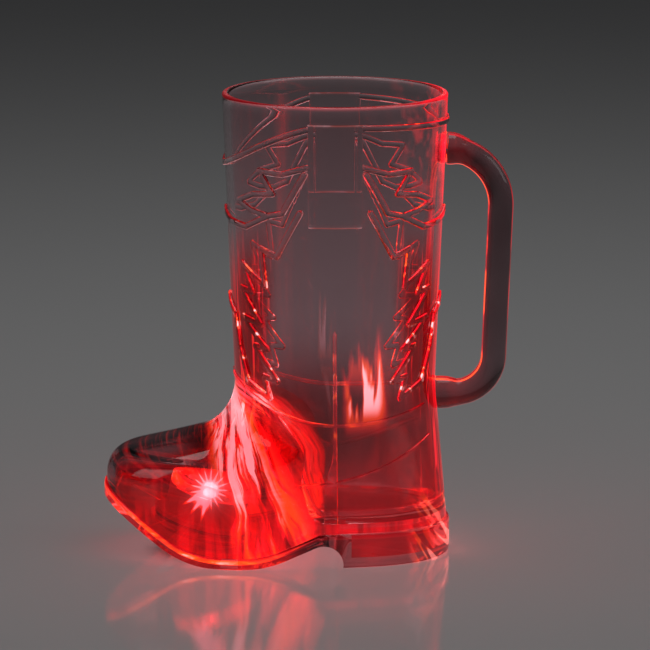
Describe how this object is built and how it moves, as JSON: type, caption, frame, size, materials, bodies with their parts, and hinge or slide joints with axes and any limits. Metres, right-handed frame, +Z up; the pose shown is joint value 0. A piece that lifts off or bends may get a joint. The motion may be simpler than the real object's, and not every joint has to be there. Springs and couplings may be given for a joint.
{
  "type": "light-up boot mug",
  "caption": "Clear moulded drinking mug shaped like a western boot, with a bar handle and a push-button red light capsule sealed in the toe.",
  "frame": {"origin": "on the ground, under the middle of the cup's length from toe to handle, in its plane of symmetry", "axes": "+Z up along the shaft, +X from the toe towards the handle, +Y across the foot"},
  "size_m": [0.1454, 0.081, 0.165],
  "materials": {
    "clear_shell": "clear polished polystyrene, faintly smoked",
    "clear_sole": "clear polished polystyrene lit red from inside",
    "clear_handle": "clear polished polystyrene",
    "lens_plastic": "clear lens over the lights",
    "led_red": "lit red epoxy dome",
    "white_plastic": "moulded, satin",
    "button_plastic": "moulded, satin",
    "black_plastic": "moulded, matt",
    "seal_rubber": "soft, matt",
    "board_laminate": "green solder mask",
    "cell_steel": "nickel-plated, satin",
    "screw_steel": "zinc-plated",
    "contact_brass": "sheet brass, satin"
  },
  "bodies": {
    "cup": {"boot_shell": "clear_shell", "outsole": "clear_sole", "handle": "clear_handle", "battery_cover": "white_plastic", "cover_seal": "seal_rubber", "capsule_seal": "seal_rubber", "capsule_housing": "white_plastic", "battery_plate": "contact_brass", "battery_spring": "contact_brass", "circuit_board": "board_laminate", "controller_chip": "black_plastic", "switch_body": "black_plastic", "lens_cap": "lens_plastic", "battery_1": "cell_steel", "battery_2": "cell_steel", "battery_3": "cell_steel", "led_1": "led_red", "led_2": "led_red", "led_3": "led_red", "resistor_1": "black_plastic", "resistor_2": "black_plastic", "resistor_3": "black_plastic", "cover_screw_1": "screw_steel", "cover_screw_2": "screw_steel"},
    "button": {"push_button": "button_plastic", "switch_plunger": "white_plastic"}
  },
  "joints": [
    {"name": "button_press", "type": "slide", "parent": "cup", "child": "button", "axis": [0.2632, 0, 0.9648], "range_m": [0, 0.0008], "stiffness_N_per_m": 600}
  ]
}
